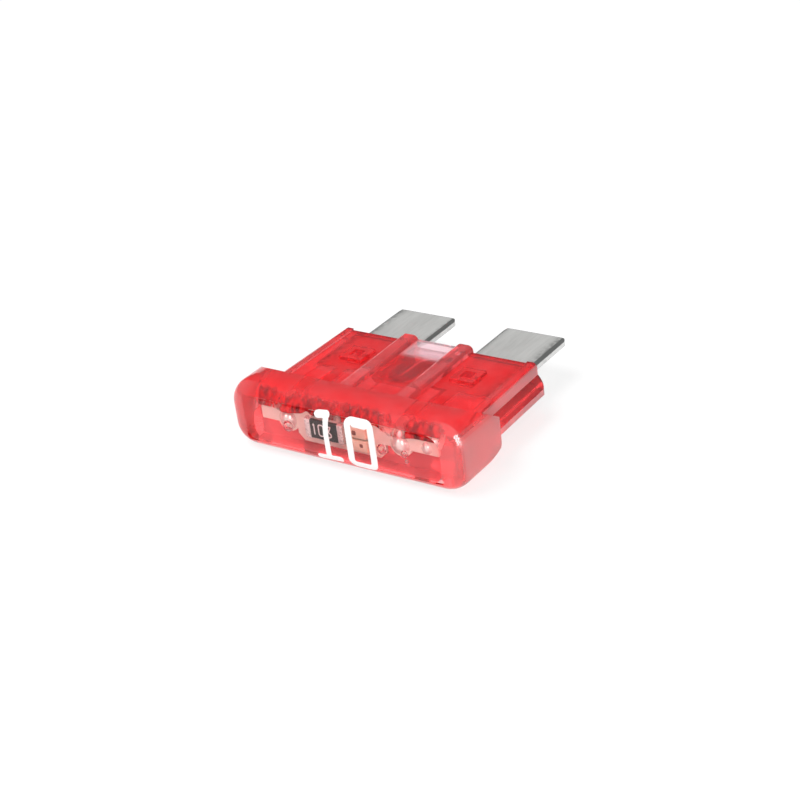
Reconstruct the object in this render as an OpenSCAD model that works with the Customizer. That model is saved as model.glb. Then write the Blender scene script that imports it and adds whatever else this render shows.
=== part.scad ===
// Blade fuse with a lamp indicator, lying on one broad side.
// X runs across the blades, Y from the head's front to the blade tips, Z through the thickness.

/* [Head] */
// Width of the head from end to end
head_width = 19.4; // [18.8:0.1:22]
// Thickness of the head
head_thickness = 5.1; // [4.7:0.1:6]
// Radius where the front rolls over to the broad sides and the ends
front_radius = 1.35; // [1:0.05:1.5]
// Corner radius of the head seen from its front
corner_radius = 1.8; // [1.7:0.1:2.2]
// Length of the flat band on each broad side of the head
head_flat = 1.5; // [1:0.1:1.8]
// Length of the bevel behind the flat band
head_bevel = 3.3; // [2.4:0.1:3.6]
// Thickness of the rim where the bevel ends
rim_thickness = 0.84; // [0.4:0.02:1.4]
// Corner radius at the back of the head's ends
ear_radius = 1.6; // [0.6:0.1:2.4]

/* [Body] */
// Length from the head's front to the seating shoulder
body_length = 12.5; // [12:0.1:15]
// Width of the body above the side step
body_width = 17; // [16.6:0.1:17.6]
// Width of the skirt below the side step
skirt_width = 18.4; // [17.8:0.1:18.6]
// Thickness across the two side panels
panel_thickness = 2.2; // [1.9:0.05:2.6]
// Thickness across the outer edges
edge_thickness = 2.5; // [2.2:0.05:3]
// Width of each raised outer edge
edge_width = 0.75; // [0.4:0.05:1]
// Rounding of the outer edges
edge_radius = 0.35; // [0.2:0.05:0.5]
// Height where the side step starts, from the middle plane
step_top = 0.35; // [0.2:0.05:0.6]
// Depth below the middle plane where the skirt is full width
step_drop = 0.4; // [0.2:0.05:0.7]
// Chamfer along the lower edge of the skirt
skirt_chamfer = 0.4; // [0.2:0.05:0.6]
// Draft of the body: how far each side has come in at the seating shoulder
draft_inset = 0.25; // [0:0.05:0.35]
// Rounding of the corners at the seating shoulder
shoulder_radius = 0.7; // [0.4:0.05:1.2]

/* [Rails and window] */
// Thickness across the two centre rails
rail_thickness = 3.3; // [3:0.05:4]
// Width of each centre rail
rail_width = 1.4; // [1.1:0.05:1.8]
// Distance between the centre rails
rail_gap = 3.3; // [3:0.05:3.6]
// Rounding along the rails
rail_radius = 0.4; // [0.2:0.05:0.5]
// Thickness across the window between the rails
window_thickness = 2.7; // [2.4:0.05:3]
// Height of the chamber around the link
chamber_height = 1.7; // [1.4:0.05:1.9]
// Wall between the chamber and each blade slot
chamber_wall = 0.3; // [0.2:0.05:0.5]
// Free space between the link's bend and the end of the chamber
chamber_margin = 0.6; // [0.4:0.05:1]
// Depth of the bridge between the blades at the shoulder
bridge_depth = 0.7; // [0.5:0.05:1]
// Thickness of that bridge
bridge_thickness = 0.6; // [0.4:0.05:0.8]

/* [Fuse element] */
// Length of the blades beyond the shoulder
blade_reach = 5.95; // [5:0.05:8]
// Width of each blade
blade_width = 5.15; // [4.8:0.05:5.4]
// Thickness of the blades
blade_thickness = 0.65; // [0.5:0.01:0.9]
// Step on each broad side from the blades to the thinner plates inside the body
blade_step = 0.03; // [0.02:0.01:0.05]
// Gap between the two blades
blade_gap = 4.3; // [4.1:0.05:4.5]
// Corner radius of the blade tips
tip_radius = 0.6; // [0.4:0.05:1.2]
// Width of the coined bevel around the blades
coin_width = 0.3; // [0.2:0.05:0.5]
// Depth of that bevel on each broad side
coin_depth = 0.14; // [0.08:0.01:0.2]
// Length of each blade inside the body
plate_depth = 5; // [4.6:0.1:5.6]
// Thickness of the link
link_thickness = 0.4; // [0.3:0.05:0.6]
// Width of the link
link_width = 0.7; // [0.5:0.05:0.8]
// Radius of the link's bends along its middle
link_radius = 0.6; // [0.5:0.05:0.7]
// Length of the link's straight legs
link_leg = 2.7; // [2:0.1:3]
// Distance of the link's ends from the shoulder
link_inset = 1.7; // [1.4:0.05:2]
// Offset of the link's bend from the middle line
link_offset = 0.55; // [0:0.05:0.6]
// Free space around the element in its slots
slot_clearance = 0.05; // [0.03:0.01:0.1]

/* [Stakes] */
// Side of the square stake hole in each blade
stake_hole = 1.3; // [1:0.05:1.6]
// Distance of the stakes from the shoulder
stake_inset = 3.4; // [3:0.05:3.8]
// Width of the raised rim around each stake
stake_rim_width = 1.9; // [1.6:0.05:2.4]
// Height of that rim over the panel
stake_rim_height = 0.25; // [0.15:0.05:0.4]
// Side of the square pit in each stake
pit_width = 0.9; // [0.6:0.05:1.2]
// Depth of the pit below the rim
pit_depth = 0.55; // [0.3:0.05:0.7]

/* [Indicator pocket] */
// Room in the pocket beyond each end of the board
pocket_margin = 0.8; // [0.6:0.1:1.1]
// Height of the pocket
pocket_height = 3.5; // [3.2:0.1:3.8]
// Corner radius of the pocket
pocket_radius = 1; // [0.6:0.1:1.4]
// Depth of the pocket from the head's front
pocket_depth = 2.3; // [2:0.1:2.6]

/* [Indicator board] */
// Reach of the board's arms past the blades' outer edges
board_overhang = 0.05; // [-0.3:0.05:0.5]
// Length of the wide middle of the board
board_middle = 7.4; // [7:0.1:7.6]
// Offset of the wide middle from the centre line
board_offset = -0.6; // [-0.7:0.05:0]
// Drop of the wide middle below the middle plane
board_drop = 0.3; // [0:0.05:0.35]
// Height of the wide middle
board_height = 2.2; // [2.1:0.05:2.6]
// Rise of the arms over the middle plane
arm_rise = 0.15; // [0:0.05:0.25]
// Height of the arms
arm_height = 0.9; // [0.6:0.05:1.2]
// Radius of the round lands on the arms
land_radius = 0.9; // [0.85:0.05:1.1]
// Chamfer on the corners of the wide middle
board_chamfer = 0.5; // [0.2:0.05:0.8]
// Thickness of the board
board_thickness = 0.5; // [0.4:0.05:0.6]
// Distance of each test tab from the middle of the pair
tab_place = 4.7; // [4.6:0.05:5.2]
// Offset of the pair of tabs from the centre line
tab_offset = -0.35; // [-0.4:0.05:0]
// Width of the test tabs
tab_width = 0.9; // [0.7:0.05:1]
// Length of the tabs beyond the board
tab_stand = 0.15; // [0.1:0.01:0.2]

/* [Indicator components] */
// Drop of the resistor and the lamps below the middle plane
chip_drop = 0.15; // [0:0.05:0.2]
// Radius of the solder joints on the tabs
joint_radius = 0.75; // [0.7:0.01:0.8]
// Height of the solder joints
joint_height = 0.5; // [0.4:0.05:0.6]
// Radius of the solder drop at the end of one arm
drop_radius = 0.42; // [0.3:0.02:0.44]
// Height of that drop
drop_height = 0.25; // [0.15:0.05:0.4]
// Distance of the drop from the end of the arm
drop_inset = 0.9; // [0.6:0.05:1.1]
// Length of the resistor with its end caps
resistor_length = 3.2; // [2.8:0.1:3.4]
// Height of the resistor across the board
resistor_height = 1.5; // [1.2:0.1:1.8]
// Thickness of the resistor's end caps
resistor_thickness = 0.55; // [0.4:0.05:0.65]
// Length of each end cap
cap_length = 0.45; // [0.3:0.05:0.6]
// How far the caps wrap over the resistor's body
cap_wrap = 0.06; // [0.04:0.01:0.1]
// Place of the resistor along the board
resistor_place = -1.8; // [-2:0.05:-1.6]
// Length of each lamp chip
lamp_length = 1.7; // [1.4:0.05:1.8]
// Height of each lamp chip across the board
lamp_height = 0.85; // [0.6:0.05:0.9]
// Thickness of the lamp chips with their lenses
lamp_thickness = 0.55; // [0.45:0.05:0.65]
// Thickness of the lamp chips' base
lamp_base = 0.3; // [0.25:0.05:0.4]
// Gap between the two lamp chips
lamp_gap = 0.16; // [0.1:0.02:0.3]
// Place of the lamps along the board
lamp_place = 1.15; // [1.05:0.05:1.3]
// Length of the metal foot at each end of a lamp chip
foot_length = 0.25; // [0.15:0.05:0.35]
// Thickness of those feet
foot_thickness = 0.2; // [0.1:0.02:0.24]

/* [Hidden] */
$fn = 48;
overlap = 0.2;
total_length = body_length + blade_reach;
body_lean = atan(draft_inset / body_length);
bevel_start = front_radius + head_flat;
head_depth = bevel_start + head_bevel;
board_front = pocket_depth - board_thickness;
plate_start = body_length - plate_depth;
plate_thickness = blade_thickness - 2 * blade_step;
slot_height = plate_thickness + 2 * slot_clearance;
plate_middle = (blade_gap + blade_width) / 2;
blade_span = blade_gap + 2 * blade_width;
board_length = blade_span + 2 * board_overhang;
pocket_width = board_length + 2 * pocket_margin;
link_run = body_length - link_inset;
link_bend = link_run - link_leg;
link_end = link_bend - link_radius - link_width / 2;
chamber_start = link_end - chamber_margin;
chamber_width = blade_gap - 2 * chamber_wall;
stake_place = body_length - stake_inset;
drop_place = board_length / 2 - drop_inset;

// Puts the fuse's own frame, middle plane and head front, on the part's origin.
module in_place() {
    translate([0, -total_length / 2, head_thickness / 2]) children();
}

// Both halves of something that is the same on the left and the right.
module both_sides() {
    children();
    mirror([1, 0, 0]) children();
}

// Both halves of something that is the same above and below the middle plane.
module both_faces() {
    children();
    mirror([0, 0, 1]) children();
}

// What rounding takes off a corner at the top right, drawn from the round's centre.
module corner_cut(radius) {
    difference() {
        square(radius + overlap);
        circle(radius);
    }
}

module rounded_square(width, height, radius) {
    difference() {
        square([width, height], center = true);
        for (x = [0, 1], y = [0, 1]) mirror([x, 0]) mirror([0, y])
            translate([width / 2 - radius, height / 2 - radius]) corner_cut(radius);
    }
}

// Carries a profile drawn in the X-Z plane along Y.
module along_length(start, end) {
    translate([0, end, 0]) rotate([90, 0, 0]) linear_extrude(end - start) children();
}

// Carries a profile drawn in the Y-Z plane along X, centred.
module across_width(width) {
    translate([-width / 2, 0, 0]) rotate([90, 0, 90]) linear_extrude(width) children();
}

module at_tabs() {
    for (side = [-1, 1]) translate([tab_offset + side * tab_place, 0, 0]) children();
}

module centred_box(width, start, end, height) {
    translate([-width / 2, start, -height / 2]) cube([width, end - start, height]);
}

// What rounding takes off the edge of the head's front, all the way round.
module front_cut() {
    rise = head_thickness / 2;
    side = head_width / 2;
    both_faces() across_width(head_width - 2 * corner_radius)
        translate([front_radius, rise - front_radius]) mirror([1, 0]) corner_cut(front_radius);
    both_sides() linear_extrude(head_thickness - 2 * corner_radius, center = true)
        translate([side - front_radius, front_radius]) mirror([0, 1]) corner_cut(front_radius);
    both_sides() both_faces()
        translate([side - corner_radius, front_radius, rise - corner_radius]) rotate([90, 0, 0])
            rotate_extrude(angle = 90)
                translate([corner_radius - front_radius, 0]) corner_cut(front_radius);
}

// Side profile of the head: flat band, bevel and rim.
module head_profile() {
    half = head_thickness / 2;
    rim = rim_thickness / 2;
    polygon([[0, half], [bevel_start, half], [head_depth, rim], [head_depth, -rim],
             [bevel_start, -half], [0, -half]]);
}

// Outline of the head from the broad side, its back corners rounded.
module head_plan() {
    difference() {
        translate([-head_width / 2, 0]) square([head_width, head_depth]);
        both_sides()
            translate([head_width / 2 - ear_radius, head_depth - ear_radius]) corner_cut(ear_radius);
    }
}

module head_form() {
    difference() {
        intersection() {
            along_length(0, head_depth) rounded_square(head_width, head_thickness, corner_radius);
            across_width(head_width) head_profile();
            linear_extrude(head_thickness, center = true) head_plan();
        }
        front_cut();
    }
}

// Right half of the body's section: panel, raised outer edge, side step and skirt.
module body_half_section() {
    panel = panel_thickness / 2;
    edge = edge_thickness / 2;
    outer = body_width / 2;
    inner = outer - edge_width;
    skirt = skirt_width / 2;
    polygon([[0, panel], [inner, panel], [inner, edge], [outer - edge_radius, edge],
             [outer, edge - edge_radius], [outer, step_top], [skirt, -step_drop],
             [skirt, skirt_chamfer - edge], [skirt - skirt_chamfer, -edge], [inner, -edge],
             [inner, -panel], [0, -panel]]);
    translate([outer - edge_radius, edge - edge_radius]) circle(edge_radius);
}

// Section of the window and the two rails beside it.
module rail_section() {
    square([rail_gap + rail_width, window_thickness], center = true);
    for (side = [-1, 1])
        translate([side * (rail_gap + rail_width) / 2, 0])
            rounded_square(rail_width, rail_thickness, rail_radius);
}

// What rounding takes off one corner of the leaning body at its shoulder, from the broad side.
module shoulder_cut() {
    round = shoulder_radius;
    reach = 2 * round;
    place = body_length - round;
    side = (skirt_width / 2 - round - place * sin(body_lean)) / cos(body_lean);
    translate([side, place]) difference() {
        polygon([[0, 0], [reach * cos(body_lean), reach * sin(body_lean)], [reach, reach], [0, reach]]);
        circle(round);
    }
}

module body_form() {
    difference() {
        union() {
            both_sides() rotate(body_lean)
                along_length(bevel_start, total_length) body_half_section();
            along_length(bevel_start, total_length) rail_section();
        }
        centred_box(2 * head_width, body_length, 2 * total_length, 2 * head_thickness);
        both_sides() linear_extrude(head_thickness, center = true) shoulder_cut();
    }
}

module stake_rim() {
    translate([plate_middle, stake_place, 0]) both_faces()
        translate([-stake_rim_width / 2, -stake_rim_width / 2, panel_thickness / 2 - overlap])
            cube([stake_rim_width, stake_rim_width, stake_rim_height + overlap]);
}

module stake_pit() {
    top = panel_thickness / 2 + stake_rim_height;
    translate([plate_middle, stake_place, 0]) both_faces()
        translate([-pit_width / 2, -pit_width / 2, top - pit_depth])
            cube([pit_width, pit_width, pit_depth + overlap]);
}

// Room for one blade, its stake left standing.
module blade_slot() {
    grow = slot_clearance;
    plug = stake_hole - 2 * slot_clearance;
    difference() {
        translate([blade_gap / 2 - grow, plate_start - grow, -slot_height / 2])
            cube([blade_width + 2 * grow, plate_depth + grow + overlap, slot_height]);
        translate([plate_middle, stake_place, 0]) cube([plug, plug, 2 * slot_height], center = true);
    }
}

// Room for one test tab between the pocket and its blade's slot.
module tab_slot() {
    centred_box(tab_width + 2 * slot_clearance, board_front, plate_start, slot_height);
}

// Room for the link's two ends in the walls beside the chamber.
module link_slot() {
    centred_box(blade_gap, link_run - link_width / 2 - slot_clearance,
                link_run + link_width / 2 + slot_clearance, link_thickness + 2 * slot_clearance);
}

// Chamber around the link, open at the shoulder above and below the bridge.
module chamber() {
    bridge_start = body_length - bridge_depth;
    mouth = (chamber_height - bridge_thickness) / 2;
    centred_box(chamber_width, chamber_start, bridge_start, chamber_height);
    both_faces() translate([0, 0, (bridge_thickness + mouth) / 2])
        centred_box(chamber_width, bridge_start - overlap, body_length + overlap, mouth);
}

module pocket(start) {
    along_length(start, pocket_depth) rounded_square(pocket_width, pocket_height, pocket_radius);
}

module housing() {
    color("crimson", 0.7) in_place() difference() {
        union() {
            head_form();
            body_form();
            both_sides() stake_rim();
        }
        pocket(-overlap);
        chamber();
        link_slot();
        both_sides() blade_slot();
        at_tabs() tab_slot();
        both_sides() stake_pit();
    }
}

// Outline of one blade beyond the shoulder, with rounded tips.
module blade_outline() {
    translate([plate_middle, body_length]) difference() {
        translate([-blade_width / 2, 0]) square([blade_width, blade_reach]);
        both_sides()
            translate([blade_width / 2 - tip_radius, blade_reach - tip_radius]) corner_cut(tip_radius);
    }
}

// Section of a blade with its coined edges; width is the full width of the section.
module coined_section(width) {
    half = blade_thickness / 2;
    side = width / 2;
    polygon([[-side, half - coin_depth], [coin_width - side, half], [side - coin_width, half],
             [side, half - coin_depth], [side, coin_depth - half], [side - coin_width, -half],
             [coin_width - side, -half], [-side, coin_depth - half]]);
}

// Blade beyond the shoulder, coined along its sides and its tip.
module blade() {
    intersection() {
        linear_extrude(blade_thickness, center = true) blade_outline();
        translate([plate_middle, 0, 0])
            along_length(body_length, total_length) coined_section(blade_width);
        translate([plate_middle, body_length, 0])
            across_width(blade_width) coined_section(2 * blade_reach);
    }
}

// Plate inside the body, rooted in its blade, with the stake's hole.
module plate() {
    root_width = blade_width - 2 * coin_width;
    translate([plate_middle, 0, 0]) difference() {
        union() {
            centred_box(blade_width, plate_start, body_length, plate_thickness);
            centred_box(root_width, plate_start, body_length + overlap, plate_thickness);
        }
        translate([0, stake_place, 0]) cube([stake_hole, stake_hole, slot_height], center = true);
    }
}

// Tab on the plate, which the board is soldered to.
module test_tab() {
    centred_box(tab_width, board_front - tab_stand, plate_start + overlap, plate_thickness);
}

// Quarter of a flat ring, in the quadrant of positive X and Y.
module quarter_bend() {
    intersection() {
        difference() {
            circle(link_radius + link_width / 2);
            circle(link_radius - link_width / 2);
        }
        square(link_radius + link_width);
    }
}

// One leg of the link: straight, then bent outwards to the blade at the distance given.
module link_leg_outline(reach) {
    translate([link_radius - link_width / 2, 0]) square([link_width, link_leg - link_radius]);
    translate([2 * link_radius, link_leg - link_radius]) mirror([1, 0]) quarter_bend();
    translate([2 * link_radius, link_leg - link_width / 2])
        square([reach - 2 * link_radius, link_width]);
}

// Hairpin link between the blades, its closed bend towards the head.
module link() {
    seat = blade_gap / 2 + overlap;
    linear_extrude(link_thickness, center = true) translate([-link_offset, link_bend]) {
        link_leg_outline(seat + link_offset);
        mirror([1, 0]) link_leg_outline(seat - link_offset);
        mirror([0, 1]) {
            quarter_bend();
            mirror([1, 0]) quarter_bend();
        }
    }
}

module fuse_element() {
    color("silver") in_place() {
        both_sides() blade();
        both_sides() plate();
        at_tabs() test_tab();
        link();
    }
}

// Wide middle of the board in the X-Z plane, its corners cut.
module board_middle_outline() {
    half = board_middle / 2;
    rise = board_height / 2;
    cut = board_chamfer;
    polygon([[-half, cut - rise], [-half, rise - cut], [cut - half, rise], [half - cut, rise],
             [half, rise - cut], [half, cut - rise], [half - cut, -rise], [cut - half, -rise]]);
}

// Strip with a wide middle, two arms and a round land on each arm.
module board_form() {
    translate([board_offset, 0, -board_drop])
        along_length(board_front, pocket_depth) board_middle_outline();
    translate([0, 0, arm_rise]) centred_box(board_length, board_front, pocket_depth, arm_height);
    at_tabs() along_length(board_front, pocket_depth) circle(land_radius);
}

module indicator_board() {
    slot = tab_width + 2 * slot_clearance;
    color("wheat") in_place() difference() {
        board_form();
        at_tabs() centred_box(slot, board_front - overlap, pocket_depth + overlap, slot_height);
    }
}

// Drop of solder of the given radius and height, standing on the board's front.
module solder_drop(radius, height) {
    ball = (radius * radius + height * height) / (2 * height);
    intersection() {
        translate([0, board_front + ball - height, 0]) sphere(ball);
        centred_box(4 * radius, board_front - 2 * height, board_front, 4 * radius);
    }
}

module at_drop() {
    translate([drop_place, 0, arm_rise]) children();
}

module solder_joints() {
    color("whitesmoke") in_place() {
        at_tabs() difference() {
            solder_drop(joint_radius, joint_height);
            centred_box(tab_width, board_front - tab_stand, board_front + overlap, plate_thickness);
        }
        at_drop() solder_drop(drop_radius, drop_height);
    }
}

module at_resistor() {
    translate([resistor_place, 0, -chip_drop]) children();
}

module resistor_core() {
    centred_box(resistor_length - 2 * cap_wrap, board_front - resistor_thickness + cap_wrap,
                board_front - cap_wrap, resistor_height - 2 * cap_wrap);
}

// Box over the resistor and its caps.
module resistor_envelope() {
    centred_box(resistor_length, board_front - resistor_thickness, board_front, resistor_height);
}

module resistor_body() {
    color("dimgray") in_place() at_resistor() resistor_core();
}

// Metal caps wrapped round both ends of the resistor's body.
module resistor_caps() {
    color("lightgray") in_place() at_resistor() difference() {
        resistor_envelope();
        resistor_core();
        centred_box(resistor_length - 2 * cap_length, board_front - resistor_thickness - overlap,
                    board_front + overlap, resistor_height + overlap);
    }
}

// Place of one lamp chip: side 1 is the upper one, -1 the lower one.
module at_lamp(side) {
    translate([lamp_place, 0, side * (lamp_height + lamp_gap) / 2 - chip_drop]) children();
}

// Lamp chip with its feet: a base and a shorter lens in front of it.
module lamp_envelope() {
    centred_box(lamp_length, board_front - lamp_base, board_front, lamp_height);
    centred_box(lamp_length - 2 * foot_length, board_front - lamp_thickness, board_front, lamp_height);
}

module lamp_foot() {
    translate([lamp_length / 2 - foot_length, board_front - foot_thickness, -lamp_height / 2])
        cube([foot_length, foot_thickness, lamp_height]);
}

module lamp_chip(side) {
    at_lamp(side) difference() {
        lamp_envelope();
        both_sides() lamp_foot();
    }
}

module lamp_forward() {
    color("orange") in_place() lamp_chip(1);
}

module lamp_reverse() {
    color("orange") in_place() lamp_chip(-1);
}

module lamp_feet() {
    color("gold") in_place() for (side = [-1, 1]) at_lamp(side) both_sides() lamp_foot();
}

// Everything that the clear resin is poured over.
module potted_pieces() {
    board_form();
    at_tabs() solder_drop(joint_radius, joint_height);
    at_drop() solder_drop(drop_radius, drop_height);
    at_resistor() resistor_envelope();
    for (side = [-1, 1]) at_lamp(side) lamp_envelope();
}

// Clear resin that fills the pocket up to the head's front.
module resin_window() {
    color("mistyrose", 0.4) in_place() difference() {
        intersection() {
            head_form();
            pocket(-overlap);
        }
        potted_pieces();
    }
}

housing();
fuse_element();
indicator_board();
solder_joints();
resistor_body();
resistor_caps();
lamp_forward();
lamp_reverse();
lamp_feet();
resin_window();
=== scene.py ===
import math
import bmesh
import bpy
import numpy as np
from mathutils import Matrix, Vector


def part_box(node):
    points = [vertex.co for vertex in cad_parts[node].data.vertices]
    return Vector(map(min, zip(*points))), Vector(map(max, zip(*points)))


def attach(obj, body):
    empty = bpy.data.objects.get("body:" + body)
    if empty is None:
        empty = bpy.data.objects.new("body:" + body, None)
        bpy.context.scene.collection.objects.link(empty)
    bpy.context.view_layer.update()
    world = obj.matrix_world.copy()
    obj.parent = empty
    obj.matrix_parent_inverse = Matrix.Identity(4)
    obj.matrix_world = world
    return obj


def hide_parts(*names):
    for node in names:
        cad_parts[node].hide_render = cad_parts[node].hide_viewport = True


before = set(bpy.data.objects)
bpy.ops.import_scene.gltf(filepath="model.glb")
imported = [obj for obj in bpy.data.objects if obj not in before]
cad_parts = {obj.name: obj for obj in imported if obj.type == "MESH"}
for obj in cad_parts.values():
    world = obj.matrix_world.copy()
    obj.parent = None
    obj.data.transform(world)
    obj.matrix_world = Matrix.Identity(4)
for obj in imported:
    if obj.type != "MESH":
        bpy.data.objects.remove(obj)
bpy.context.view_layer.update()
mm = 0.001  # sizes below are in millimetres
white = (1, 1, 1, 1)
scene = bpy.context.scene
scene.view_settings.view_transform = "Standard"

# camera: aim is a point on its axis, the angles are degrees and the lens is for a 36 mm sensor
shot = {"azimuth": 37.65, "elevation": 27.65, "roll": -7.62, "lens": 75.91,
        "aim": (2.27, -4.93, 3.84), "distance": 114.49, "nearest": 5.0}


def placeCamera(shot):
    az, el, roll = (math.radians(shot[k]) for k in ("azimuth", "elevation", "roll"))
    back = np.array([math.sin(az) * math.cos(el), -math.cos(az) * math.cos(el), math.sin(el)])
    right = np.cross([0, 0, 1], back)
    right /= np.linalg.norm(right)
    up = np.cross(back, right)
    across = math.cos(roll) * right + math.sin(roll) * up
    upward = math.cos(roll) * up - math.sin(roll) * right
    camera = bpy.data.objects.new("camera", bpy.data.cameras.new("camera"))
    camera.data.lens = shot["lens"]
    camera.data.clip_start = shot["nearest"] * mm
    camera.matrix_world = Matrix(np.column_stack([across, upward, back]).tolist()).to_4x4()
    camera.location = (np.array(shot["aim"]) + back * shot["distance"]) * mm
    scene.collection.objects.link(camera)
    scene.camera = camera


placeCamera(shot)
print("camera placed")


# short ways to write node trees: an input takes a plain value or another node's socket
def setInput(tree, socket, value):
    if isinstance(value, bpy.types.NodeSocket):
        tree.links.new(value, socket)
    else:
        socket.default_value = value


def addNode(tree, kind, inputs=None, **settings):
    made = tree.nodes.new("ShaderNode" + kind)
    for key, value in settings.items():
        setattr(made, key, value)
    for key, value in (inputs or {}).items():
        setInput(tree, made.inputs[key], value)
    return made


def emptyMaterial(name):
    material = bpy.data.materials.new(name)
    material.use_nodes = True
    material.node_tree.nodes.clear()
    return material, material.node_tree


def startMaterial(name, inputs):
    material, tree = emptyMaterial(name)
    shader = addNode(tree, "BsdfPrincipled", inputs)
    addNode(tree, "OutputMaterial", {"Surface": shader.outputs["BSDF"]})
    coords = addNode(tree, "TexCoord").outputs["Object"]
    return material, tree, shader, coords


def blendValue(tree, factor, first, second):
    return addNode(tree, "Mix", {"Factor": factor, "A": first, "B": second}).outputs["Result"]


def blendColour(tree, factor, first, second):
    mixer = addNode(tree, "Mix", {"Factor": factor}, data_type="RGBA")
    for place, colour in ((6, first), (7, second)):  # 6, 7 and 2 are the Mix node's colour sockets
        setInput(tree, mixer.inputs[place], (*colour, 1) if isinstance(colour, tuple) else colour)
    return mixer.outputs[2]


def spread(tree, value, low, high, toLow, toHigh):
    return addNode(tree, "MapRange", {"Value": value, "From Min": low, "From Max": high,
                                      "To Min": toLow, "To Max": toHigh}).outputs["Result"]


# from 0 at the near end of reach to most at its far end
def ramp(tree, place, reach, most=1.0):
    low, high = (v * mm for v in reach)
    return spread(tree, place, low, high, 0, most)


def combine(tree, operation, first, second):
    return addNode(tree, "Math", {0: first, 1: second}, operation=operation).outputs[0]


def invert(tree, mask):
    return combine(tree, "SUBTRACT", 1.0, mask)


def readMask(tree, name):
    return addNode(tree, "Attribute", attribute_name=name).outputs["Fac"]


def addBump(tree, shader, height, bump):
    strength, depth = bump
    made = addNode(tree, "Bump", {"Height": height, "Strength": strength, "Distance": depth * mm})
    tree.links.new(made.outputs["Normal"], shader.inputs["Normal"])


# clear pieces: a wall with a skin of 0 lets light straight through, and the inside takes colour with depth
def finishClear(tree, shader, height, look):
    addBump(tree, shader, height, look["bump"])
    tree.links.new(readMask(tree, "skin"), shader.inputs["Alpha"])
    fill = addNode(tree, "VolumeAbsorption", {"Color": (*look["absorb"], 1), "Density": look["density"]})
    tree.links.new(fill.outputs["Volume"], tree.nodes["Material Output"].inputs["Volume"])


def startGroup(name, inputs, outputs):
    group = bpy.data.node_groups.new(name, "ShaderNodeTree")
    for key in inputs:
        kind = "NodeSocketVector" if key == "Vector" else "NodeSocketFloat"
        group.interface.new_socket(key, in_out="INPUT", socket_type=kind)
    for key in outputs:
        group.interface.new_socket(key, in_out="OUTPUT", socket_type="NodeSocketFloat")
    into = group.nodes.new("NodeGroupInput")
    out = group.nodes.new("NodeGroupOutput")
    return group, into.outputs, out.inputs


# cloud: a broad noise mixed by a share with a fine one at finer times its scale; the mask is sharpened
cloudPlan = {"finer": 6.0, "broadDetail": 2.0, "fineDetail": 3.0, "sharpen": (0.3, 0.7), "fineShare": 0.4}


def makeCloudGroup(plan):
    group, into, out = startGroup("cloud", ("Vector", "Scale", "Fine Share"), ("Mask", "Fine"))
    finer = combine(group, "MULTIPLY", into["Scale"], plan["finer"])
    noises = ((into["Scale"], plan["broadDetail"]), (finer, plan["fineDetail"]))
    broad, fine = (addNode(group, "TexNoise", {"Vector": into["Vector"], "Scale": scale, "Detail": detail})
                   for scale, detail in noises)
    both = blendValue(group, into["Fine Share"], broad.outputs["Fac"], fine.outputs["Fac"])
    group.links.new(spread(group, both, *plan["sharpen"], 0, 1), out["Mask"])
    group.links.new(fine.outputs["Fac"], out["Fine"])
    return group


# band: 0 up to a distance from the middle line, 1 from a second distance on, smooth between them
def makeBandGroup():
    group, into, out = startGroup("band", ("Vector", "From", "To"), ("Mask",))
    axes = addNode(group, "SeparateXYZ", {0: into["Vector"]})
    side = combine(group, "ABSOLUTE", axes.outputs["X"], 0.0)
    smooth = addNode(group, "MapRange", {"Value": side, "From Min": into["From"], "From Max": into["To"]},
                     interpolation_type="SMOOTHSTEP")
    group.links.new(smooth.outputs["Result"], out["Mask"])
    return group


cloudGroup = makeCloudGroup(cloudPlan)
bandGroup = makeBandGroup()


def cloud(tree, coords, scale, fineShare=cloudPlan["fineShare"]):
    made = addNode(tree, "Group", {"Vector": coords, "Scale": scale, "Fine Share": fineShare},
                   node_tree=cloudGroup)
    return made.outputs["Mask"], made.outputs["Fine"]


def band(tree, coords, reach):
    low, high = (v * mm for v in reach)
    made = addNode(tree, "Group", {"Vector": coords, "From": low, "To": high}, node_tree=bandGroup)
    return made.outputs["Mask"]


# roughness from low to high by the cloud's fine noise
def wander(tree, fine, roughness):
    return spread(tree, fine, *cloudPlan["sharpen"], *roughness)


# red plastic: tint runs from clear on the thin walls of the window, where it is painted light, to deep on
# the panels, frost marks the matt ends and skin is 0 on the walls in the resin; between the rails it is
# painted clear from a depth on, as if lit through, the panels' rim at the shoulder is painted shade, and the
# head's front is milky towards its ends
redLook = {"clear": (1.0, 0.88, 0.93), "deep": (0.97, 0.085, 0.095), "pale": (1.0, 0.7, 0.71),
           "rim": (0.3, 0.02, 0.05), "polished": (0.04, 0.12), "frosted": 0.5,
           "ior": 1.45, "transmission": 0.78, "absorb": (0.985, 0.68, 0.69), "density": 900.0,
           "cloud": 260.0, "drift": 0.08, "bump": (0.12, 0.02),
           "litWindowStart": (0.55, 1.2), "litWindowSide": (1.55, 1.7), "rimStart": (2.95, 3.2),
           "rimSide": (2.9, 3.2), "rimShare": 0.8, "milkSide": (6.6, 9.4), "milk": 0.5}


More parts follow.
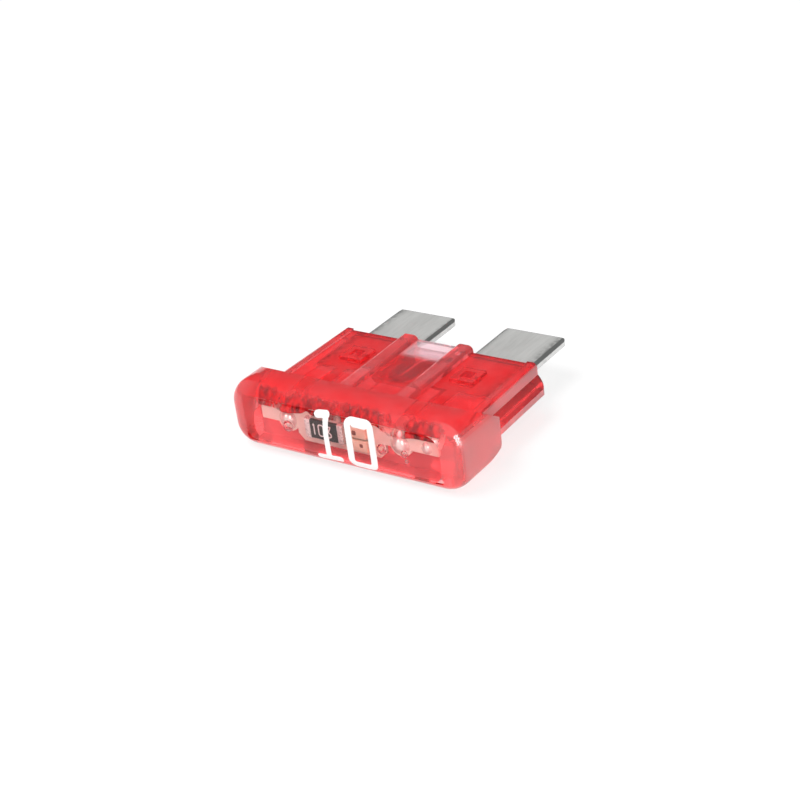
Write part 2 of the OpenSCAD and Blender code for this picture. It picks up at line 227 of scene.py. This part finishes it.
def makeRedPlastic(look):
    material, tree, shader, coords = startMaterial(
        "red_plastic", {"IOR": look["ior"], "Transmission Weight": look["transmission"]})
    mask, fine = cloud(tree, coords, look["cloud"])
    frost = readMask(tree, "frost")
    depth = addNode(tree, "SeparateXYZ", {0: coords}).outputs["Y"]
    drift = spread(tree, mask, 0, 1, -look["drift"], look["drift"])
    tint = combine(tree, "ADD", readMask(tree, "tint"), drift)
    # painted light: the window between the rails is made clearer from a depth on, as if lit through
    between = invert(tree, band(tree, coords, look["litWindowSide"]))
    window = combine(tree, "MULTIPLY", ramp(tree, depth, look["litWindowStart"]), between)
    tint = combine(tree, "MULTIPLY", tint, invert(tree, window))
    colour = blendColour(tree, tint, look["clear"], look["deep"])
    # painted shade: a dark line along the panels' rim at the shoulder
    edge = ramp(tree, depth, look["rimStart"], look["rimShare"])
    rim = combine(tree, "MULTIPLY", edge, band(tree, coords, look["rimSide"]))
    colour = blendColour(tree, rim, colour, look["rim"])
    ends = combine(tree, "MULTIPLY", band(tree, coords, look["milkSide"]), look["milk"])
    milk = combine(tree, "MULTIPLY", ends, readMask(tree, "facing"))
    colour = blendColour(tree, combine(tree, "MAXIMUM", frost, milk), colour, look["pale"])
    tree.links.new(colour, shader.inputs["Base Color"])
    polish = wander(tree, fine, look["polished"])
    tree.links.new(blendValue(tree, frost, polish, look["frosted"]), shader.inputs["Roughness"])
    finishClear(tree, shader, mask, look)
    return material


# clear resin: takes the plastic's red near the head's ends
resinLook = {"light": (1.0, 0.97, 0.96), "deep": (1.0, 0.93, 0.92), "end": (1.0, 0.5, 0.51),
             "endSide": (7.0, 8.6), "roughness": (0.02, 0.06), "ior": 1.45, "transmission": 1.0,
             "absorb": (1.0, 0.5, 0.52), "density": 120.0, "cloud": 300.0, "bump": (0.1, 0.02)}


def makeClearResin(look):
    material, tree, shader, coords = startMaterial(
        "clear_resin", {"IOR": look["ior"], "Transmission Weight": look["transmission"]})
    mask, fine = cloud(tree, coords, look["cloud"])
    colour = blendColour(tree, mask, look["light"], look["deep"])
    colour = blendColour(tree, band(tree, coords, look["endSide"]), colour, look["end"])
    tree.links.new(colour, shader.inputs["Base Color"])
    tree.links.new(wander(tree, fine, look["roughness"]), shader.inputs["Roughness"])
    finishClear(tree, shader, mask, look)
    return material


# bond of resin and plastic: dark crazed patches where the mask crazed is 1, an even milky film where it's 0
seamLook = {"dark": (0.14, 0.0, 0.002), "bright": (0.75, 0.02, 0.025), "milky": (0.72, 0.15, 0.17),
            "roughness": (0.3, 0.6), "shine": 0.1, "cloud": 360.0, "fineShare": 0.25, "sharp": (0.4, 0.62),
            "cover": (0.2, 0.42), "film": 0.8, "bump": (0.6, 0.04)}


def makeCrazedSeam(look):
    material, tree, shader, coords = startMaterial("crazed_seam", {"Specular IOR Level": look["shine"]})
    mask, fine = cloud(tree, coords, look["cloud"], look["fineShare"])
    crazed = readMask(tree, "crazed")
    patches = blendColour(tree, spread(tree, fine, *look["sharp"], 0, 1), look["dark"], look["bright"])
    tree.links.new(blendColour(tree, crazed, look["milky"], patches), shader.inputs["Base Color"])
    tree.links.new(wander(tree, fine, look["roughness"]), shader.inputs["Roughness"])
    addBump(tree, shader, fine, look["bump"])
    body = readMask(tree, "body")  # 1 where the film is whole, 0 at its edge
    even = combine(tree, "MULTIPLY", body, look["film"])
    sparse = combine(tree, "SUBTRACT", combine(tree, "ADD", mask, body), 1.0)  # fewer patches at the edge
    cover = blendValue(tree, crazed, even, spread(tree, sparse, *look["cover"], 0, 1))
    tree.links.new(cover, shader.inputs["Alpha"])
    return material


# zinc: satin, with a grain drawn along the blades, painted shade on the slanted faces of the coined edges,
# bright on the sheared sides, darker in patches near the blades' sides as painted shade of their rounded
# edges, and the link painted dark as painted shade; the side shading and the patches are each a noise from
# and to, and the share from and to that it gives
zincLook = {"light": (0.94, 0.94, 0.92), "dull": (0.78, 0.78, 0.76), "cut": (0.22, 0.225, 0.22),
            "shadedSide": (0.16, 0.165, 0.16), "sheared": (0.68, 0.68, 0.67), "link": (0.1, 0.08, 0.1),
            "roughness": (0.35, 0.5), "metallic": 0.6, "grain": 900.0, "drawn": (1.0, 0.12, 1.0),
            "fineShare": 0.5, "spots": 420.0, "outerSide": (6.3, 7.4), "innerSide": (2.0, 2.8),
            "sideShading": (0.35, 0.6, 0.2, 1.0), "patchy": (0.4, 0.5, 0.8, 1.0), "bump": (0.25, 0.01)}


def makeZinc(look):
    material, tree, shader, coords = startMaterial("zinc", {"Metallic": look["metallic"]})
    drawn = addNode(tree, "Mapping", {"Vector": coords, "Scale": look["drawn"]}).outputs["Vector"]
    grain, fineGrain = cloud(tree, drawn, look["grain"], look["fineShare"])
    spots, fineSpots = cloud(tree, coords, look["spots"])
    colour = blendColour(tree, grain, look["light"], look["dull"])
    # painted shade: darker in patches near the blades' sides, for the shade on their rounded edges
    inner = invert(tree, band(tree, coords, look["innerSide"]))
    sides = combine(tree, "MAXIMUM", band(tree, coords, look["outerSide"]), inner)
    sideShading = combine(tree, "MULTIPLY", sides, spread(tree, fineSpots, *look["sideShading"]))
    patchy = spread(tree, fineSpots, *look["patchy"])
    sheared = combine(tree, "MULTIPLY", readMask(tree, "sheared"), patchy)
    for mask, name in ((sideShading, "shadedSide"), (readMask(tree, "cut"), "cut"), (sheared, "sheared"),
                       (readMask(tree, "link"), "link")):
        colour = blendColour(tree, mask, colour, look[name])
    tree.links.new(colour, shader.inputs["Base Color"])
    tree.links.new(spread(tree, spots, 0, 1, *look["roughness"]), shader.inputs["Roughness"])
    addBump(tree, shader, fineGrain, look["bump"])
    return material


# plain finishes: two colours mixed by the cloud, roughness from and to, the cloud's scale and how metallic
plainBump = (0.2, 0.01)
plainLooks = {
    "board": ((0.93, 0.87, 0.79), (0.9, 0.77, 0.67), (0.4, 0.6), 700.0, 0.0),
    "solder": ((0.97, 0.96, 0.92), (0.85, 0.85, 0.79), (0.12, 0.25), 900.0, 0.45),
    "resistor_black": ((0.012, 0.012, 0.013), (0.026, 0.026, 0.025), (0.3, 0.5), 1500.0, 0.0),
    "tinned_caps": ((0.85, 0.82, 0.8), (0.7, 0.68, 0.66), (0.2, 0.4), 1200.0, 0.3),
    "lamp_amber": ((1.0, 0.85, 0.68), (1.0, 0.76, 0.55), (0.25, 0.4), 900.0, 0.0),
    "lamp_die": ((0.2, 0.05, 0.03), (0.32, 0.12, 0.06), (0.3, 0.5), 1500.0, 0.0),
    "gold_feet": ((0.9, 0.7, 0.35), (0.8, 0.58, 0.25), (0.2, 0.35), 1200.0, 0.9),
    "white_ink": ((0.88, 0.88, 0.87), (0.84, 0.83, 0.82), (0.4, 0.6), 1500.0, 0.0),
}


def makePlain(name, first, second, roughness, scale, metallic):
    material, tree, shader, coords = startMaterial(name, {"Metallic": metallic})
    mask, fine = cloud(tree, coords, scale)
    tree.links.new(blendColour(tree, mask, first, second), shader.inputs["Base Color"])
    tree.links.new(wander(tree, fine, roughness), shader.inputs["Roughness"])
    addBump(tree, shader, fine, plainBump)
    return material


finishes = {
    "red_plastic": makeRedPlastic(redLook),
    "clear_resin": makeClearResin(resinLook),
    "crazed_seam": makeCrazedSeam(seamLook),
    "zinc": makeZinc(zincLook),
}
for name, look in plainLooks.items():
    finishes[name] = makePlain(name, *look)
print("finishes made", len(finishes))


def ownPiece(name, mesh, finish, slot, *nodes):
    piece = bpy.data.objects.new(name, mesh)
    scene.collection.objects.link(piece)
    mesh.materials.clear()
    mesh.materials.append(finishes[finish])
    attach(piece, "root")
    if nodes:
        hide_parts(*nodes)
    return piece


# soft copy of a solid: doubles merged, flat faces joined, then edges that turn enough rounded to width;
# the merges and collapse are millimetres, and flat, turn and sharp are degrees
meshPlan = {"merge": 0.0002, "flat": 0.5, "turn": 25.0, "segments": 2, "sharp": 40.0,
            "joinMerge": 0.0005, "collapse": 0.0001}


def markSharp(mesh):
    mesh.set_sharp_from_angle(angle=math.radians(meshPlan["sharp"]))


def softCopy(node, width=0.0):
    work = bmesh.new()
    work.from_mesh(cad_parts[node].data)
    bmesh.ops.remove_doubles(work, verts=work.verts, dist=meshPlan["merge"] * mm)
    flat = math.radians(meshPlan["flat"])
    bmesh.ops.dissolve_limit(work, angle_limit=flat, verts=work.verts, edges=work.edges)
    if width:
        turn = math.radians(meshPlan["turn"])
        edges = [e for e in work.edges if e.is_manifold and e.calc_face_angle(0) > turn]
        bmesh.ops.bevel(work, geom=edges, offset=width * mm, offset_type="OFFSET",
                        segments=meshPlan["segments"], profile=0.5, affect="EDGES", clamp_overlap=False)
    mesh = bpy.data.meshes.new(node)
    work.to_mesh(mesh)
    work.free()
    for name in ("custom_normal", "sharp_edge", "sharp_face"):
        if name in mesh.attributes:
            mesh.attributes.remove(mesh.attributes[name])
    mesh.shade_smooth()
    markSharp(mesh)
    return mesh


def weighNormals(piece):
    weigh = piece.modifiers.new("even_normals", "WEIGHTED_NORMAL")
    weigh.keep_sharp = True


def faceArrays(mesh):
    count = len(mesh.polygons)
    centre, normal = np.empty(count * 3), np.empty(count * 3)
    mesh.polygons.foreach_get("center", centre)
    mesh.polygons.foreach_get("normal", normal)
    return centre.reshape(-1, 3) / mm, normal.reshape(-1, 3)


def markMesh(mesh, name, values, domain="FACE"):
    layer = mesh.attributes.new(name, "FLOAT", domain)
    layer.data.foreach_set("value", values.ravel().astype(np.float32))


# grid of points (rows, columns, 3) in millimetres as quads; a closed direction joins its end to its start
def gridMesh(name, points, closedRows=False, closedColumns=True):
    rows, columns = points.shape[:2]
    index = np.arange(rows * columns).reshape(rows, columns)
    if closedRows:
        index = np.vstack([index, index[:1]])
    if closedColumns:
        index = np.hstack([index, index[:, :1]])
    quads = np.stack([index[:-1, :-1], index[:-1, 1:], index[1:, 1:], index[1:, :-1]], -1).reshape(-1, 4)
    mesh = bpy.data.meshes.new(name)
    mesh.from_pydata((points.reshape(-1, 3) * mm).tolist(), [], quads.tolist())
    return mesh


# a row of values against even angles round a full turn, as two grids
def roundGrid(values, count):
    return np.meshgrid(values, np.linspace(0, 2 * np.pi, count, endpoint=False), indexing="ij")


# joins meshes into one, merges doubles such as poles and turns every closed shell outwards
def joinMeshes(name, meshes, outwards=True):
    work = bmesh.new()
    for mesh in meshes:
        work.from_mesh(mesh)
    bmesh.ops.remove_doubles(work, verts=work.verts, dist=meshPlan["joinMerge"] * mm)
    bmesh.ops.dissolve_degenerate(work, edges=work.edges, dist=meshPlan["collapse"] * mm)
    if outwards:
        bmesh.ops.recalc_face_normals(work, faces=work.faces)
    joined = bpy.data.meshes.new(name)
    work.to_mesh(joined)
    work.free()
    joined.shade_smooth()
    return joined


# even samples along a path of corner points, the length run at each and the whole length
def evenPath(points, count, closed):
    points = np.array(points, float)
    if closed:
        points = np.vstack([points, points[:1]])
    run = np.concatenate([[0], np.cumsum(np.linalg.norm(np.diff(points, axis=0), axis=1))])
    where = np.linspace(0, run[-1], count, endpoint=not closed)
    return np.stack([np.interp(where, run, points[:, k]) for k in (0, 1)], -1), where, run[-1]


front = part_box("housing")[0].y / mm  # the head's front
middle = (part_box("housing")[0].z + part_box("housing")[1].z) / 2 / mm  # the middle plane
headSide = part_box("housing")[1].x / mm  # the head's end
frontTurn = -0.3  # a face looks to the front where its normal's y is below this

# housing: its pocket walls touch the resin and the board, and its ends are frosted
housingPlan = {"pocketWidth": 16.3, "pocketHeight": 3.5, "pocketDepth": 2.3, "slack": 0.02,
               "frostTurn": (0.7, 0.95), "frostReach": 1.5, "headDepth": 6.0, "railInside": 1.62,
               "railSide": 3.1, "railTint": 0.8, "panelTint": 0.96, "otherTint": 0.95}


def inPocket(plan, centre):
    return ((np.abs(centre[:, 0]) < plan["pocketWidth"] / 2 + plan["slack"])
            & (np.abs(centre[:, 2] - middle) < plan["pocketHeight"] / 2 + plan["slack"])
            & (centre[:, 1] < front + plan["pocketDepth"] + plan["slack"]))


def makeHousing(plan):
    mesh = softCopy("housing")
    centre, normal = faceArrays(mesh)
    markMesh(mesh, "skin", ~inPocket(plan, centre))
    low, high = plan["frostTurn"]
    turned = np.clip((np.abs(normal[:, 0]) - low) / (high - low), 0, 1)
    across, depth = np.abs(centre[:, 0]), centre[:, 1] - front
    markMesh(mesh, "frost", turned * (across > headSide - plan["frostReach"]))
    markMesh(mesh, "facing", (normal[:, 1] < frontTurn) & (depth < plan["headDepth"]))
    body = depth > plan["headDepth"]
    rail = body & (across > plan["railInside"]) & (across < plan["railSide"])
    panel = body & (across > plan["railSide"])
    tints = [plan["railTint"], plan["panelTint"]]
    markMesh(mesh, "tint", np.select([rail, panel], tints, plan["otherTint"]))
    weighNormals(ownPiece("housing_shell", mesh, "red_plastic", "red_plastic", "housing"))


makeHousing(housingPlan)

# resin with bubbles, each a place across, a depth, a rise and a radius
resinPlan = {"skinDepth": 0.4, "inset": 0.006, "bubbleGrid": (17, 32),
             "bubbles": {"left": (-4.59, 0.6, -0.11, 0.43), "inner": (3.25, 0.6, -0.22, 0.39),
                         "right": (5.08, 0.6, -0.2, 0.28), "low": (5.2, 0.6, -0.75, 0.16)}}


# sphere: x, y, z = centre + radius times (sin polar cos around, sin polar sin around, cos polar)
def bubbleMesh(name, grid, x, depth, rise, radius):
    polar, around = roundGrid(np.linspace(0, np.pi, grid[0]), grid[1])
    ball = np.stack([np.sin(polar) * np.cos(around), np.sin(polar) * np.sin(around), np.cos(polar)], -1)
    return gridMesh(name, np.array([x, front + depth, middle + rise]) + radius * ball)


# moves every point against its normal, so walls that touch another solid don't coincide with it
def shrink(mesh, step):
    count = len(mesh.vertices)
    points, normals = np.empty(count * 3), np.empty(count * 3)
    mesh.vertices.foreach_get("co", points)
    mesh.vertices.foreach_get("normal", normals)
    mesh.vertices.foreach_set("co", points - normals * step * mm)
    mesh.update()


def makeResin(plan):
    balls = [bubbleMesh(name, plan["bubbleGrid"], *ball) for name, ball in plan["bubbles"].items()]
    bubbles = joinMeshes("bubbles", balls)
    bubbles.flip_normals()  # a void's wall points into the void
    shell = softCopy("resin_window")
    shrink(shell, plan["inset"])
    count = len(shell.polygons)
    mesh = joinMeshes("resin_fill", [shell, bubbles], False)
    markSharp(mesh)
    centre, normal = faceArrays(mesh)
    skin = (centre[:, 1] < front + plan["skinDepth"]) & (normal[:, 1] < frontTurn)
    skin[count:] = True  # the bubbles' walls
    markMesh(mesh, "skin", skin)
    ownPiece("resin_fill", mesh, "clear_resin", "clear_resin", "resin_window")


makeResin(resinPlan)

# element: a flat face's normal is near upright, a coined edge's leans and a sheared side's lies
elementPlan = {"rounding": 0.03, "linkSide": 2.1, "upright": 0.97, "lean": 0.06, "lying": 0.2}


def makeElement(plan):
    mesh = softCopy("fuse_element", plan["rounding"])
    centre, normal = faceArrays(mesh)
    steep = np.abs(normal[:, 2])
    # painted shade: the link inside the housing is marked to be painted dark, as if in shade
    markMesh(mesh, "link", np.abs(centre[:, 0]) < plan["linkSide"])
    # painted shade: faces that lean from upright, the coined edges, are marked to be darkened
    markMesh(mesh, "cut", np.clip((plan["upright"] - steep) / plan["lean"], 0, 1))
    markMesh(mesh, "sheared", steep < plan["lying"])
    weighNormals(ownPiece("blade_element", mesh, "zinc", "zinc", "fuse_element"))


makeElement(elementPlan)
print("housing, resin and element made")

# indicator: for each solid its piece, its finish and how far its edges are rounded
indicatorPlan = {"indicator_board": ("indicator_strip", "board", 0.04),
                 "solder_joints": ("solder_drops", "solder", 0.0),
                 "resistor_body": ("resistor_chip", "resistor_black", 0.03),
                 "resistor_caps": ("resistor_ends", "tinned_caps", 0.02),
                 "lamp_forward": ("lamp_upper", "lamp_amber", 0.04),
                 "lamp_reverse": ("lamp_lower", "lamp_amber", 0.04),
                 "lamp_feet": ("lamp_contacts", "gold_feet", 0.03)}
for node, (name, finish, width) in indicatorPlan.items():
    weighNormals(ownPiece(name, softCopy(node, width), finish, finish, node))
print("indicator made")

# bond films: a crazed one climbs from a level edge, stepped by bells, to the upper wall and then runs
# forward along it, and an even one lies on the back and lower walls, through points of (depth, rise); the
# higher a fade, the sooner the film is whole
seamPlan = {"left": -7.8, "right": 7.9, "top": 1.66, "depth": 1.74, "near": 1.0, "edge": 0.63,
            "climb": 0.7, "steps": ((-3.35, 0.1, 0.3), (2.3, 0.13, 0.5), (3.5, -0.1, 0.25)),
            "joints": (-5.05, 4.35), "bulge": (0.42, 0.7), "crumple": 0.05, "crumpleStart": 6.0,
            "waves": ((5.1, 2.3), (-1.9, 6.7), (9.7, -7.9)), "fineWave": 0.6,
            "even": [(2.24, 0.3), (2.24, -1.68), (0.45, -1.68)],
            "sideFade": 60.0, "topFade": 1.6, "frontFade": 4.0, "grid": (260, 48)}


# sum of bells, each its height times e to the minus square of (x - place) over width
def bells(x, rows):
    return sum(height * np.exp(-((x - place) / width) ** 2) for place, height, width in rows)


# depth and rise of the crazed film: v climbs and then runs forward, bells lift it over the solder joints,
# and a product of two sines plus a third, finer one crumples it
def crazedFilm(plan, x, v):
    low = plan["edge"] + bells(x, plan["steps"])
    up = np.clip(v / plan["climb"], 0, 1)
    over = np.clip((v - plan["climb"]) / (1 - plan["climb"]), 0, 1)
    rise = low + (plan["top"] - low) * up
    lift, wide = plan["bulge"]
    bulge = bells(x, [(place, lift, wide) for place in plan["joints"]])
    depth = plan["depth"] + (plan["near"] - plan["depth"]) * over - bulge * (1 - up)
    (a, b), (c, d), (e, f) = plan["waves"]
    wave = np.sin(a * x + b * rise) * np.sin(c * x + d * rise)
    wave = wave + plan["fineWave"] * np.sin(e * x + f * depth)
    crumple = plan["crumple"] * wave * np.clip(v * plan["crumpleStart"], 0, 1)
    return depth + crumple, rise - np.abs(crumple)


def filmMesh(name, x, depth, rise, crazed, fade):
    mesh = gridMesh(name, np.stack([x, front + depth, middle + rise], -1), False, False)
    markMesh(mesh, "body", fade, "POINT")
    markMesh(mesh, "crazed", np.full_like(x, crazed), "POINT")
    return mesh


def makeSeam(plan):
    columns, rows = plan["grid"]
    u, v = np.meshgrid(np.linspace(0, 1, columns), np.linspace(0, 1, rows), indexing="ij")
    x = plan["left"] + (plan["right"] - plan["left"]) * u
    sides = np.clip(np.minimum(u, 1 - u) * plan["sideFade"], 0, 1)
    fade = sides * np.clip((1 - v) * plan["topFade"], 0, 1)
    crazed = filmMesh("crazed", x, *crazedFilm(plan, x, v), 1.0, fade)
    line, run, whole = evenPath(plan["even"], rows, False)
    depth, rise = (np.broadcast_to(line[:, k], x.shape) for k in (0, 1))
    fade = sides * np.clip((whole - run) * plan["frontFade"], 0, 1)
    even = filmMesh("even", x, depth, rise, 0.0, fade)
    ownPiece("bond_film", joinMeshes("bond_film", [crazed, even], False), "crazed_seam", "clear_resin")


makeSeam(seamPlan)

# the head's front, rolled above and below its flat
frontRoll = {"flat": 1.2, "radius": 1.35}


# x runs across and s up the rolled profile from the middle plane: straight, then round the roll's arc
def onFront(x, s, lift):
    flat, radius = frontRoll["flat"], frontRoll["radius"]
    over = np.clip(np.abs(s) - flat, 0, None) / radius
    rise = np.sign(s) * (np.minimum(np.abs(s), flat) + (radius + lift) * np.sin(over))
    depth = radius - (radius + lift) * np.cos(over)
    return np.stack([x, front + depth, middle + rise], -1)


# samples along a stroke and round its section, and how soon its round ends are at full height
strokePlan = {"samples": 90, "sides": 20, "endRise": 3.0}


# stroke: a flattened section, half width times cos and thickness times sin, carried along the path; the ends
# of an open path are half circles
def strokeMesh(name, surface, points, width, thick, closed=False,
               samples=strokePlan["samples"], sides=strokePlan["sides"]):
    path, where, run = evenPath(points, samples, closed)
    ahead = np.roll(path, -1, 0) - np.roll(path, 1, 0) if closed else np.gradient(path, axis=0)
    ahead /= np.linalg.norm(ahead, axis=1, keepdims=True)
    across = np.stack([-ahead[:, 1], ahead[:, 0]], -1)
    share = np.ones(len(path))
    if not closed:
        inset = np.clip(np.minimum(where, run - where) / (width / 2), 0, 1)
        share = np.sqrt(np.clip(1 - (1 - inset) ** 2, 0, 1))
    turn = np.linspace(0, 2 * np.pi, sides, endpoint=False)
    side, height = (np.sign(wave) * np.sqrt(np.abs(wave)) for wave in (np.cos(turn), np.sin(turn)))
    flat = path[:, None] + across[:, None] * (width / 2 * share[:, None] * side)[..., None]
    lift = thick * height * np.minimum(share * strokePlan["endRise"], 1)[:, None]
    return gridMesh(name, surface(flat[..., 0], flat[..., 1], lift), closed, True)


# rounded rectangle: a quarter circle at each corner, round from the upper right
def roundedLoop(left, right, bottom, top, radius, steps=8):
    turn = np.linspace(0, np.pi / 2, steps)
    corners = ((right, top, 1, 1), (left, top, -1, 1), (left, bottom, -1, -1), (right, bottom, 1, -1))
    loop = []
    for k, (x, s, goX, goS) in enumerate(corners):
        angle = turn + k * np.pi / 2
        arcX = x - goX * radius + radius * np.cos(angle)
        arcS = s - goS * radius + radius * np.sin(angle)
        loop += list(zip(arcX, arcS))
    return loop


# rating: the number ten; strokes of (points, width), a loop as left, right, bottom, top and radius
ratingInk = {"thick": 0.025,
             "one": [([(-1.83, 1.5), (-1.45, 1.65), (-0.58, 1.75)], 0.58),
                     ([(-0.8, 1.85), (-1.0, 0.9), (-1.08, 0.2), (-1.05, -1.78)], 0.44),
                     ([(-2.1, -1.76), (0.1, -1.62)], 0.46)],
             "zero": {"loop": (0.87, 2.76, -1.72, 1.69, 0.42), "width": 0.52, "samples": 200,
                      "top": ([(1.15, 1.47), (2.5, 1.47)], 0.5)}}


def makeRating(plan):
    thick, zero = plan["thick"], plan["zero"]
    one = [strokeMesh("stroke", onFront, points, width, thick) for points, width in plan["one"]]
    ownPiece("rating_one", joinMeshes("rating_one", one), "white_ink", None)
    loop = roundedLoop(*zero["loop"])
    ring = strokeMesh("ring", onFront, loop, zero["width"], thick, True, zero["samples"])
    top = strokeMesh("top", onFront, *zero["top"], thick)
    ownPiece("rating_zero", joinMeshes("rating_zero", [ring, top]), "white_ink", None)


makeRating(ratingInk)

# value code on the resistor, one zero three: flag is the one's upper stroke, waist and foot shape the three
chipInk = {"depth": 1.25, "thick": 0.012, "width": 0.11, "base": -0.55, "height": 0.85, "wide": 0.42,
           "places": (-2.6, -2.02, -1.4), "flag": (0.1, 0.15), "waist": 0.15, "foot": 0.1, "corner": 0.16,
           "samples": 60, "loopSamples": 80, "sides": 10}


# x runs across and s up, on the chip's flat top
def onChip(x, s, lift):
    return np.stack([x, front + chipInk["depth"] - lift, middle + s], -1)


def makeChipCode(plan):
    one, zero, three = plan["places"]
    low, high, reach = plan["base"], plan["base"] + plan["height"], plan["wide"] / 2
    half = (low + high) / 2
    flagX, flagS = plan["flag"]
    paths = [[(one - flagX, high - flagS), (one, high), (one, low)],
             [(three - reach, high), (three + reach, high), (three, half),
              (three + reach, half - plan["waist"]), (three + reach, low + plan["foot"]),
              (three, low), (three - reach, low)]]
    ink = (plan["width"], plan["thick"])
    strokes = [strokeMesh("stroke", onChip, path, *ink, False, plan["samples"], plan["sides"])
               for path in paths]
    loop = roundedLoop(zero - reach, zero + reach, low, high, plan["corner"])
    strokes.append(strokeMesh("loop", onChip, loop, *ink, True, plan["loopSamples"], plan["sides"]))
    ownPiece("resistor_code", joinMeshes("resistor_code", strokes), "white_ink", None)


makeChipCode(chipInk)

# die seen in each lamp: a place across, a rise and a radius; base is how far it is sunk
diePlan = {"depth": 1.25, "thick": 0.05, "base": 0.02, "grid": (9, 32),
           "dies": {"upper": (0.78, 0.3, 0.17), "lower": (1.28, -0.6, 0.14)}}


# low dome: its edge is a rounded square, radius over the fourth root of cos and sin to the power four,
# and its height is thick times the root of one less the square of the share out from its middle
def dieMesh(name, plan, x, rise, radius):
    out, around = roundGrid(np.linspace(0, 1, plan["grid"][0]), plan["grid"][1])
    square = radius / (np.cos(around) ** 4 + np.sin(around) ** 4) ** 0.25
    height = plan["thick"] * np.sqrt(1 - out ** 2)
    dome = np.stack([x + out * square * np.cos(around), front + plan["depth"] - height,
                     middle + rise + out * square * np.sin(around)], -1)
    base = dome[::-1].copy()
    base[..., 1] = front + plan["depth"] + plan["base"]
    return gridMesh(name, np.concatenate([dome, base]))


def makeDies(plan):
    meshes = [dieMesh(name, plan, *die) for name, die in plan["dies"].items()]
    ownPiece("lamp_dies", joinMeshes("lamp_dies", meshes), "lamp_die", None)


makeDies(diePlan)
print("ink and dies made")


# 1 for a ray that comes by a reflection or through glass, and a share for the camera's own rays
def seenShare(tree, cameraShare):
    path = addNode(tree, "LightPath")
    bounced = combine(tree, "MAXIMUM", path.outputs["Is Glossy Ray"], path.outputs["Is Transmission Ray"])
    straight = combine(tree, "MULTIPLY", path.outputs["Is Camera Ray"], cameraShare)
    return combine(tree, "MAXIMUM", bounced, straight)


def glowNode(tree, strength):
    return addNode(tree, "Emission", {"Color": white, "Strength": strength}).outputs["Emission"]


def stageMesh(name, mesh, material):
    piece = bpy.data.objects.new(name, mesh)
    scene.collection.objects.link(piece)
    mesh.materials.append(material)
    return piece


def plateMesh(name, corners):
    mesh = bpy.data.meshes.new(name)
    mesh.from_pydata([tuple(float(c) * mm for c in corner) for corner in corners], [], [(0, 1, 2, 3)])
    return mesh


# a glowing shape that only reflections see
def stageGlow(name, mesh, strength):
    material, tree = emptyMaterial(name)
    addNode(tree, "OutputMaterial", {"Surface": glowNode(tree, strength)})
    piece = stageMesh(name, mesh, material)
    piece.visible_camera = False
    piece.visible_diffuse = False
    piece.visible_transmission = False
    piece.visible_shadow = False


# floor: white to reflections and through glass, and to the eye white with a share of real shade
floorLook = {"reach": 900.0, "colour": (0.97, 0.97, 0.97), "roughness": 0.9, "shine": 0.0, "white": 0.75}


def makeFloor(look):
    material, tree = emptyMaterial("floor")
    matt = addNode(tree, "BsdfPrincipled", {"Base Color": (*look["colour"], 1),
                                            "Roughness": look["roughness"],
                                            "Specular IOR Level": look["shine"]})
    mixer = addNode(tree, "MixShader", {0: seenShare(tree, look["white"]), 1: matt.outputs["BSDF"],
                                        2: glowNode(tree, 1.0)})
    addNode(tree, "OutputMaterial", {"Surface": mixer.outputs["Shader"]})
    side = look["reach"]
    corners = [(-side, -side, 0), (side, -side, 0), (side, side, 0), (-side, side, 0)]
    stageMesh("floor", plateMesh("floor", corners), material)


makeFloor(floorLook)

# dark studio tent, a dome from low degrees above the floor
tentLook = {"radius": 700.0, "low": 0.5, "shade": 0.1, "grid": (17, 64)}


# dome: x, y, z = radius times (cos rise cos around, cos rise sin around, sin rise)
def makeTent(look):
    rise, around = roundGrid(np.radians(np.linspace(look["low"], 90, look["grid"][0])), look["grid"][1])
    dome = np.stack([np.cos(rise) * np.cos(around), np.cos(rise) * np.sin(around), np.sin(rise)], -1)
    stageGlow("tent", joinMeshes("tent", [gridMesh("tent", look["radius"] * dome)]), look["shade"])


makeTent(tentLook)

# bright softbox that faces the object: its middle, its width across and its height up
boxLook = {"from": (345, -105, 140), "width": 170.0, "height": 300.0, "strength": 20.0}


def makeSoftbox(look):
    centre = np.array(look["from"], float)
    across = np.cross([0, 0, 1], centre)
    across *= look["width"] / 2 / np.linalg.norm(across)
    up = np.cross(centre, across)
    up *= look["height"] / 2 / np.linalg.norm(up)
    corners = [centre + i * across + j * up for i, j in ((-1, -1), (1, -1), (1, 1), (-1, 1))]
    stageGlow("softbox", plateMesh("softbox", corners), look["strength"])


makeSoftbox(boxLook)

# lamps are hidden from reflections, where the tent and the softbox show
lightPlan = {"ambient": 0.48, "lamps": {"key": {"from": (-120, -60, 260), "size": 220, "watts": 0.75},
                                        "fill": {"from": (220, -160, 180), "size": 160, "watts": 0.4}}}


def makeLights(plan):
    world = bpy.data.worlds.new("studio")
    scene.world = world
    world.use_nodes = True
    tree = world.node_tree
    tree.nodes.clear()
    light = addNode(tree, "Background", {"Color": white, "Strength": plan["ambient"]})
    backdrop = addNode(tree, "Background", {"Color": white, "Strength": 1.0})
    mixer = addNode(tree, "MixShader", {0: seenShare(tree, 1.0), 1: light.outputs["Background"],
                                        2: backdrop.outputs["Background"]})
    addNode(tree, "OutputWorld", {"Surface": mixer.outputs["Shader"]})
    for name, lamp in plan["lamps"].items():
        data = bpy.data.lights.new(name, "AREA")
        data.size = lamp["size"] * mm
        data.energy = lamp["watts"]
        bulb = bpy.data.objects.new(name, data)
        scene.collection.objects.link(bulb)
        bulb.location = Vector(lamp["from"]) * mm
        bulb.rotation_euler = (-bulb.location).to_track_quat("-Z", "Y").to_euler()
        bulb.visible_glossy = False


makeLights(lightPlan)
print("floor and lights made")
